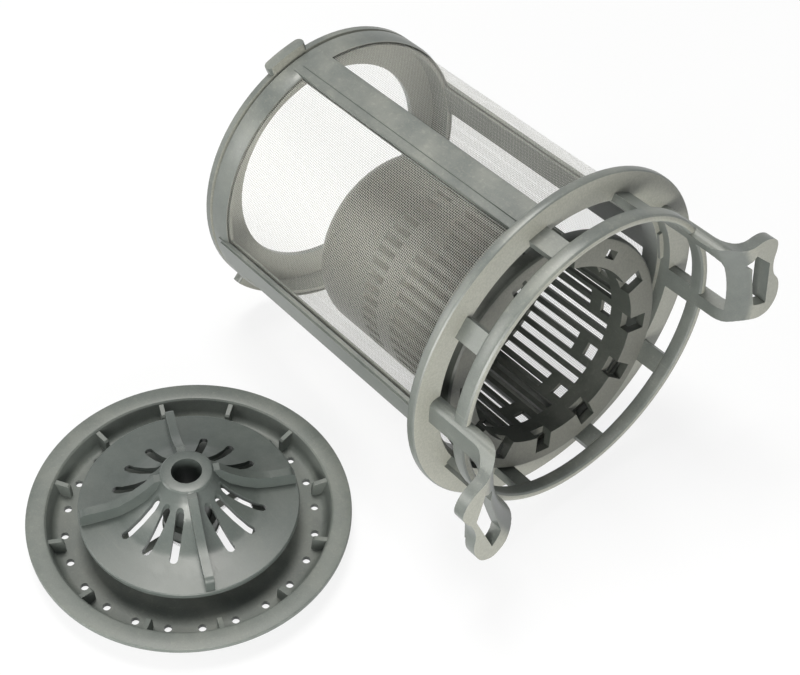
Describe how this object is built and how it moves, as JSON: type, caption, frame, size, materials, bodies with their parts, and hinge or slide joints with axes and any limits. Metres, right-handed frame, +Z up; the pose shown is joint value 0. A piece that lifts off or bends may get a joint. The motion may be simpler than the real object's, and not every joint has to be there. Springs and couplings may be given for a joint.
{
  "type": "dishwasher filter",
  "caption": "Cylindrical dishwasher filter cartridge with a fine mesh sleeve, handle ring and loose slotted basket, its round vaned base plate lying beside it.",
  "frame": {"origin": "centre of the whole layout's footprint, on the floor", "axes": "+X along the lying cartridge towards its handle end, +Z up, +Y from the base plate towards the cartridge"},
  "size_m": [0.1424, 0.2072, 0.1082],
  "materials": {
    "grey_plastic": "satin moulded",
    "dark_plastic": "satin moulded",
    "steel_mesh": "woven wire"
  },
  "bodies": {
    "root": {"frame": "grey_plastic", "mesh_sleeve": "steel_mesh", "coarse_basket": "dark_plastic", "base_bowl": "grey_plastic", "vane_plate": "grey_plastic"}
  },
  "joints": []
}
